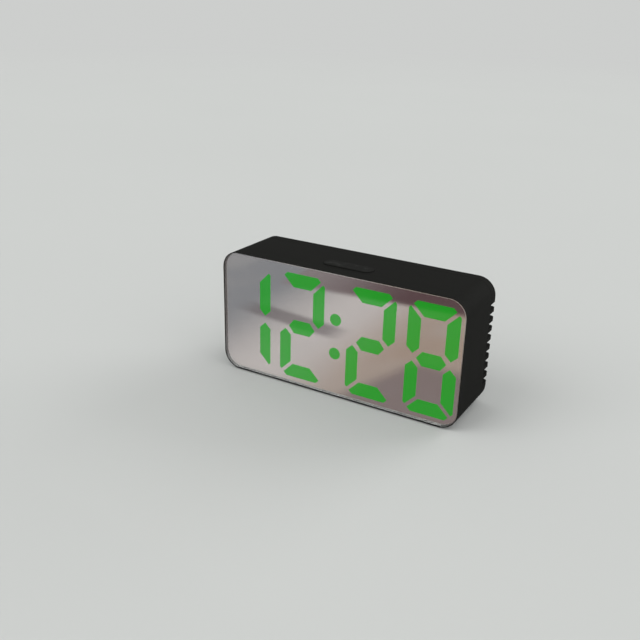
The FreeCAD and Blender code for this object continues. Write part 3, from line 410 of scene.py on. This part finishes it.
# Snooze button: a long low cap in the top, of the same black plastic, a touch smoother.
# The gap round it is what shows in the top of the clock.
button_black = Finish("button_black_abs")
button_grain = button_black.noise(0.00022, 3.0)
touch = button_black.noise(0.005).ramp(0.45, 0.75)
button_black.surface(
    {
        "Base Color": button_black.tint(touch, (0.0110, 0.0110, 0.0101), (0.0156, 0.0156, 0.0145)),
        "Roughness": 0.58 + button_grain * 0.08 - touch * 0.12,
        "Specular IOR Level": 0.03,
        "Normal": button_black.relief(button_grain, 0.00002),
    }
)
dress(button_black, "snooze_button")


# Rear keys: four small round caps with a soft edge and a shallow dish for the fingertip.
# Each has a flange inside the cover that keeps it from falling out.
def turned(profile, centre, axis, steps=40):
    """A round shape spun about an axis from (distance along it, radius) points."""
    shape = bmesh.new()
    axis = Vector(axis)
    side = axis.orthogonal().normalized()
    spots = [shape.verts.new(Vector(centre) + axis * d + side * r) for d, r in profile]
    edges = [shape.edges.new(pair) for pair in zip(spots, spots[1:])]
    bmesh.ops.spin(
        shape,
        geom=spots + edges,
        cent=centre,
        axis=axis,
        angle=2 * math.pi,
        steps=steps,
        use_merge=True,
    )
    bmesh.ops.remove_doubles(shape, verts=shape.verts, dist=1e-7)
    bmesh.ops.recalc_face_normals(shape, faces=shape.faces)
    return shape


key_radius, key_edge, key_dish = 0.0036, 0.00035, 0.00025
stem_radius, stem_end, flange_end = 0.0016, 0.0007, 0.0015
dish_radius, dish_slope, dish_floor = 0.0029, 0.0023, 0.0012
for key in ("set_key", "alarm_key", "up_key", "down_key"):
    low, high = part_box(key)
    middle, depth, flange = (low + high) / 2, high.y - low.y, (high.x - low.x) / 2
    profile = [
        (0.0, 0.0),
        (0.0, stem_radius),
        (stem_end, stem_radius),
        (stem_end, flange),
        (flange_end, flange),
        (flange_end, key_radius),
        (depth - key_edge, key_radius),
        (depth - key_edge * 0.3, key_radius - key_edge * 0.3),
        (depth, key_radius - key_edge),
        (depth, dish_radius),
        (depth - key_dish * 0.5, dish_slope),
        (depth - key_dish * 0.9, dish_floor),
        (depth - key_dish, 0.0),
    ]
    shape = turned(profile, (middle.x, low.y, middle.z), (0, 1, 0))
    cap = loose_piece(key.replace("key", "cap"), shape, button_black)
    stand_in(cap, key, "button_black", key)

# Ribbon between the boards and its connectors: grey wires side by side under one skin,
# the outermost one red, crimped into cream nylon shells.
ribbon_grey = Finish("grey_ribbon")
wire_seam, wire_pitch, red_edge, red_blur = -0.0220, 0.00127, -0.0253, 0.0003
strands = (ribbon_grey.x - wire_seam).wave(wire_pitch)
marked = ribbon_grey.x.ramp(red_edge + red_blur, red_edge)
ribbon_grey.surface(
    {
        "Base Color": ribbon_grey.tint(marked, (0.30, 0.30, 0.31), (0.30, 0.03, 0.03)),
        "Roughness": 0.5 + strands * 0.05,
        "Normal": ribbon_grey.relief(strands, 0.0001),
    }
)
dress(ribbon_grey, "ribbon_cable")
connector_cream = Finish("cream_connector_nylon")
shell_grain = connector_cream.noise(0.001, 3.0)
connector_cream.surface(
    {
        "Base Color": connector_cream.tint(shell_grain, (0.66, 0.62, 0.50), (0.76, 0.72, 0.60)),
        "Roughness": 0.42 + shell_grain * 0.1,
    }
)
dress(connector_cream, "board_connectors")

# Three AAA cells: a drawn can in a printed sleeve, rolled in over both ends,
# with a bright button at one end and a flat bright disc at the other.
can_steel = Finish("cell_end_steel")
can_rings = can_steel.noise(0.0006, 3.0)
can_steel.surface(
    {
        "Base Color": can_steel.tint(can_rings, (0.60, 0.59, 0.57), (0.72, 0.71, 0.69)),
        "Metallic": 1.0,
        "Roughness": 0.22 + can_rings * 0.16,
    }
)


def sleeve(name, height, button_side):
    """The printed sleeve of one cell: a blue body, a pale band and a sign at each end."""
    band_start, plus_spot, minus_spot = 0.0138, 0.0172, -0.0150
    arm, stroke, blur = 0.0015, 0.0003, 0.0001
    made = Finish(name)
    along = made.x * button_side
    across = abs(made.z - height)
    by_plus, by_minus = abs(along - plus_spot), abs(along - minus_spot)
    band = along.ramp(band_start, band_start + blur)
    upright = by_plus.ramp(stroke + blur, stroke) * across.ramp(arm + blur, arm)
    level = by_plus.ramp(arm + blur, arm) * across.ramp(stroke + blur, stroke)
    plus = upright.most(level)
    dash = by_minus.ramp(stroke + blur, stroke) * across.ramp(arm + blur, arm)
    scuffs = made.noise(0.0008, 3.0, (6.0, 1.0, 1.0)).ramp(0.62, 0.75)
    body = made.tint(scuffs, (0.016, 0.048, 0.115), (0.030, 0.070, 0.150))
    printed = made.tint(band, body, (0.42, 0.43, 0.44))
    signed = made.tint(dash, made.tint(plus, printed, (0.02, 0.03, 0.05)), (0.60, 0.61, 0.62))
    return made.surface(
        {
            "Base Color": signed,
            "Roughness": 0.28 + scuffs * 0.2,
            "Coat Weight": 0.3,
        }
    )


cell_radius, button_radius, button_rise = 0.00525, 0.0019, 0.0009
crimp_radius, sleeve_hem, disc_radius, bead = 0.0041, 0.00425, 0.0034, 0.0001
for cell, button_side in (("upper_cell", 1), ("middle_cell", -1), ("lower_cell", 1)):
    low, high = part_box(cell)
    middle, length = (low + high) / 2, high.x - low.x
    tip = high.x if button_side > 0 else low.x
    profile = [
        (0.0, 0.0),
        (0.0, button_radius - 3 * bead),
        (bead, button_radius - bead),
        (3 * bead, button_radius),
        (button_rise + bead, button_radius),
        (button_rise + 2 * bead, crimp_radius),
        (button_rise - bead, crimp_radius + 2 * bead),
        (button_rise - 2 * bead, crimp_radius + 5 * bead),
        (button_rise, cell_radius - 2 * bead),
        (button_rise + 5 * bead, cell_radius),
        (length - 6 * bead, cell_radius),
        (length - 2 * bead, cell_radius - bead),
        (length - bead / 2, cell_radius - 4 * bead),
        (length - bead, disc_radius + 10 * bead),
        (length - 4 * bead, disc_radius + 8 * bead),
        (length - 4 * bead, disc_radius + 4 * bead),
        (length, disc_radius),
        (length, 0.0),
    ]
    shape = turned(profile, (tip, middle.y, middle.z), (-button_side, 0, 0), 56)
    axis_line = Vector((0.0, middle.y, middle.z))
    for face in shape.faces:
        spot = face.calc_center_median()
        spot.x = 0.0
        face.material_index = 0 if (spot - axis_line).length > sleeve_hem else 1
    wrap = sleeve(cell + "_sleeve", middle.z, button_side)
    wrapped = loose_piece(cell + "_in_sleeve", shape, wrap, can_steel)
    stand_in(wrapped, "clock", "cell_wrap", cell)

# Contact plates and bowed leaves: nickel-plated spring steel with rubbed spots
# where the cells have slid in and out.
nickel = Finish("nickel_plate")
rubs = nickel.noise(0.0005, 3.0, (1.0, 1.0, 8.0)).ramp(0.55, 0.7)
nickel.surface(
    {
        "Base Color": nickel.tint(rubs, (0.58, 0.56, 0.52), (0.74, 0.72, 0.68)),
        "Metallic": 1.0,
        "Roughness": 0.30 - rubs * 0.1,
    }
)
dress(nickel, "contact_plates", "contact_springs")

# Battery door: the cover's black plastic, with two hooks at its foot and a sprung tongue.
# Thumbs leave the grooved end smoother than the rest.
door_black = Finish("door_black_abs")
door_grain = door_black.noise(0.00028, 3.0)
by_tongue = abs(door_black.x).ramp(0.011, 0.004) * door_black.z.ramp(0.036, 0.044)
thumbed = by_tongue * door_black.noise(0.004)
door_black.surface(
    {
        "Base Color": door_black.tint(thumbed, (0.0110, 0.0110, 0.0101), (0.0156, 0.0156, 0.0145)),
        "Roughness": 0.64 + door_grain * 0.08 - thumbed * 0.3,
        "Specular IOR Level": 0.02,
        "Normal": door_black.relief(door_grain, 0.00003),
    }
)
dress(door_black, "battery_door")

# Screws: zinc-plated pan heads with a cross recess. Four close the case from the rear,
# four hold the main board and two the key board.
zinc = Finish("zinc_plated_steel")
passivate = zinc.noise(0.0007, 3.0)
zinc.surface(
    {
        "Base Color": zinc.tint(passivate, (0.50, 0.50, 0.49), (0.64, 0.63, 0.60)),
        "Metallic": 1.0,
        "Roughness": 0.28 + passivate * 0.14,
    }
)


def screw_set(name, spots, seat, head_side, head, rise, shank, length, node):
    """Like screws at several spots, with heads that face one way along Y."""
    pitch, root = shank * 0.5, shank * 0.8
    thread = []
    for i in range(int((length - shank) / pitch)):
        thread += [(-pitch * i, root), (-pitch * (i + 0.5), shank)]
    profile = [
        (rise, 0.0),
        (rise, head * 0.45),
        (rise * 0.86, head * 0.75),
        (rise * 0.55, head * 0.95),
        (rise * 0.3, head),
        (0.0, head),
        *thread,
        (-length, 0.0),
    ]
    blade_size = (head * 1.1, head * 1.3, head * 0.24)
    blade_taper = (0.45, 1.0, 0.7)
    joined = bmesh.new()
    for x, z in spots:
        one = loose_piece("one", turned(profile, (x, seat, z), (0, head_side, 0), 28))
        crown = Vector((x, seat + head_side * rise, z))
        blades = []
        for angle in (37, 127):
            blade = bmesh.new()
            bmesh.ops.create_cube(blade, size=1.0)
            bmesh.ops.scale(blade, verts=blade.verts, vec=blade_size)
            deep = [v for v in blade.verts if v.co.y * head_side < 0]
            bmesh.ops.scale(blade, verts=deep, vec=blade_taper)
            turn = Matrix.Rotation(math.radians(angle), 3, "Y")
            bmesh.ops.rotate(blade, verts=blade.verts, matrix=turn)
            bmesh.ops.translate(blade, verts=blade.verts, vec=crown)
            blades.append(loose_piece("blade", blade))
        carve(one, *blades)
        joined.from_mesh(one.data)
        bpy.data.objects.remove(one)
    stand_in(loose_piece(name, joined, zinc), "clock", "screw_steel", node)


for name, node, head_side, head, rise, shank, length in (
    ("case_screw_heads", "case_screws", 1, 0.0025, 0.0017, 0.00125, 0.0100),
    ("board_screw_heads", "board_screws", -1, 0.0019, 0.0013, 0.0010, 0.0060),
    ("key_board_screw_heads", "key_board_screws", -1, 0.0019, 0.0013, 0.0010, 0.0060),
):
    low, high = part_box(node)
    across, bottom, top = high.x - head, low.z + head, high.z - head
    levels = (bottom, top) if top - bottom > head else (bottom,)
    seat = high.y - rise if head_side > 0 else low.y + rise
    spots = [(side * across, level) for side in (-1, 1) for level in levels]
    screw_set(name, spots, seat, head_side, head, rise, shank, length, node)

# Base pads: four discs of soft dark rubber let into the underside.
# The face that stands on the table is dusty.
rubber = Finish("soft_pad_rubber")
dust = rubber.noise(0.0012, 4.0)
dusty_foot = rubber.z.ramp(0.0004, 0.0) * dust
rubber.surface(
    {
        "Base Color": rubber.tint(dusty_foot, (0.018, 0.018, 0.018), (0.060, 0.058, 0.054)),
        "Roughness": 0.82,
        "Normal": rubber.relief(dust, 0.00004),
    }
)
dress(rubber, "base_pads")

# Studio: a pale floor that fades into the grey of the room, so that the horizon stays soft.
# Nothing from here on belongs to the clock.
studio_grey = (0.61, 0.62, 0.61)
haze_start, haze_full, floor_half = 0.7746, 3.0, 40.0
paper = Finish("pale_studio_paper")
sheet = paper.node(
    "BsdfPrincipled",
    {},
    {
        "Base Color": paper.tint(paper.noise(0.4, 2.0), (0.60, 0.61, 0.60), (0.62, 0.63, 0.62)),
        "Roughness": 0.9,
        "Specular IOR Level": 0.1,
    },
)
haze = paper.node("Emission", {}, {"Color": studio_grey, "Strength": 1.0})
far_off = (paper.x * paper.x + paper.y * paper.y).ramp(haze_start**2, haze_full**2)
faded = paper.node("MixShader", {}, {0: far_off, 1: sheet, 2: haze})
paper.node("OutputMaterial", {}, {"Surface": faded})
ground = bmesh.new()
bmesh.ops.create_grid(ground, x_segments=1, y_segments=1, size=floor_half)
floor = loose_piece("studio_floor", ground, paper)

# Painted reflection: a glowing card lies on the floor in front of the clock, where only reflections
# show it, so that the mirror reads as a mirror; its painted tones stand in for a room: grey on the
# left, pale in the middle, brown and plum to the right, with a band of painted shadow. Each patch has
# soft edges, in metres across (x) and outward from the clock (falling y).
pale = (0.72, 0.66, 0.655)
brown = (0.50, 0.385, 0.325)
cool_grey = (0.33, 0.33, 0.355)
mottle_grey = (0.60, 0.56, 0.55)
plum = (0.26, 0.205, 0.215)
faded_plum = (0.33, 0.28, 0.29)
deep_plum = (0.145, 0.088, 0.095)
reflected_shadow_colour = (0.20, 0.17, 0.18)
outer_grey = (0.60, 0.61, 0.60)
card_half, card_middle, card_lift = 0.5, -0.522, 0.0003
reflection_paint = Finish("painted_reflection_card")
reflection_mottle = reflection_paint.noise(0.07, 2.0)
grey_left = reflection_paint.x.ramp(-0.055, -0.125)
brown_right = reflection_paint.x.ramp(-0.050, 0.010)
near_patch = reflection_paint.y.ramp(-0.090, -0.072) * (reflection_paint.x + reflection_paint.y * 0.3).ramp(-0.012, 0.004)
far_patch = (reflection_paint.y + reflection_paint.x * 0.10).ramp(-0.160, -0.170) * reflection_paint.x.ramp(-0.125, -0.119)
far_patch = far_patch * reflection_paint.y.ramp(-0.260, -0.205)
far_plum = reflection_paint.tint(reflection_paint.x.ramp(-0.120, -0.020), faded_plum, deep_plum)
# A band of painted shadow laid into the painted reflection, across the left of the middle.
reflected_shadow_band = abs(reflection_paint.y - reflection_paint.x * 0.12 + 0.088).ramp(0.0125, 0.005)
reflected_shadow_band = reflected_shadow_band * reflection_paint.x.ramp(-0.030, -0.050) * reflection_paint.x.ramp(-0.125, -0.100)
outside = 1 - reflection_paint.y.ramp(-0.36, -0.24) * abs(reflection_paint.x + 0.06).ramp(0.30, 0.16)
tone = reflection_paint.tint(brown_right, pale, brown)
tone = reflection_paint.tint(grey_left, tone, cool_grey)
tone = reflection_paint.tint(reflection_mottle.ramp(0.4, 0.7) * 0.3, tone, mottle_grey)
tone = reflection_paint.tint(near_patch * 0.8, tone, plum)
tone = reflection_paint.tint(reflected_shadow_band * 0.7, tone, reflected_shadow_colour)
tone = reflection_paint.tint(far_patch, tone, far_plum)
tone = reflection_paint.tint(outside, tone, outer_grey)
# The card glows with these colours under no lamp: all of it is painted reflection.
painted_reflection_glow = reflection_paint.node("Emission", {}, {"Color": tone, "Strength": 1.0})
reflection_paint.node("OutputMaterial", {}, {"Surface": painted_reflection_glow})
spread = bmesh.new()
bmesh.ops.create_grid(spread, x_segments=1, y_segments=1, size=card_half)
bmesh.ops.translate(spread, verts=spread.verts, vec=(0.0, card_middle, card_lift))
reflection_card = loose_piece("painted_reflection_card", spread, reflection_paint)
# The painted card is hidden from the camera, from diffuse light and from shadows.
for seen_by in ("camera", "diffuse", "shadow"):
    setattr(reflection_card, "visible_" + seen_by, False)

# Light: an even grey room and three broad soft lamps. The key stands at the front left,
# a fill at the right, and a rear lamp keeps the back of the clock legible.
world = bpy.data.worlds.new("studio")
world.use_nodes = True
bpy.context.scene.world = world
world.node_tree.nodes["Background"].inputs["Color"].default_value = (*studio_grey, 1.0)
for name, source, spread_angle, strength in (
    ("key_light", (-0.45, -0.60, 0.66), 45.0, 0.90),
    ("fill_light", (0.70, -0.35, 0.62), 60.0, 0.40),
    ("rear_light", (0.45, 0.80, 0.36), 45.0, 1.15),
):
    light = bpy.data.lights.new(name, "SUN")
    light.angle, light.energy = math.radians(spread_angle), strength
    holder = bpy.data.objects.new(name, light)
    holder.rotation_euler = Vector(source).to_track_quat("Z", "Y").to_euler()
    bpy.context.scene.collection.objects.link(holder)

# Camera: the photograph's view, from the front right and above, with a slight roll.
# Its spot, angles and focal length fit the edges of the case and the tips of the digits.
optics = bpy.data.cameras.new("photograph_view")
optics.lens, optics.sensor_width = 44.6193, 36.0
camera = bpy.data.objects.new("photograph_view", optics)
stand = (0.18238, -0.34632, 0.19489)
azimuth, dip, roll = (math.radians(angle) for angle in (30.3194, 22.0518, 1.4921))
camera.matrix_world = (
    Matrix.Translation(stand)
    @ Matrix.Rotation(azimuth, 4, "Z")
    @ Matrix.Rotation(math.pi / 2 - dip, 4, "X")
    @ Matrix.Rotation(roll, 4, "Z")
)
bpy.context.scene.collection.objects.link(camera)
bpy.context.scene.camera = camera
bpy.context.scene.view_settings.view_transform = "Standard"
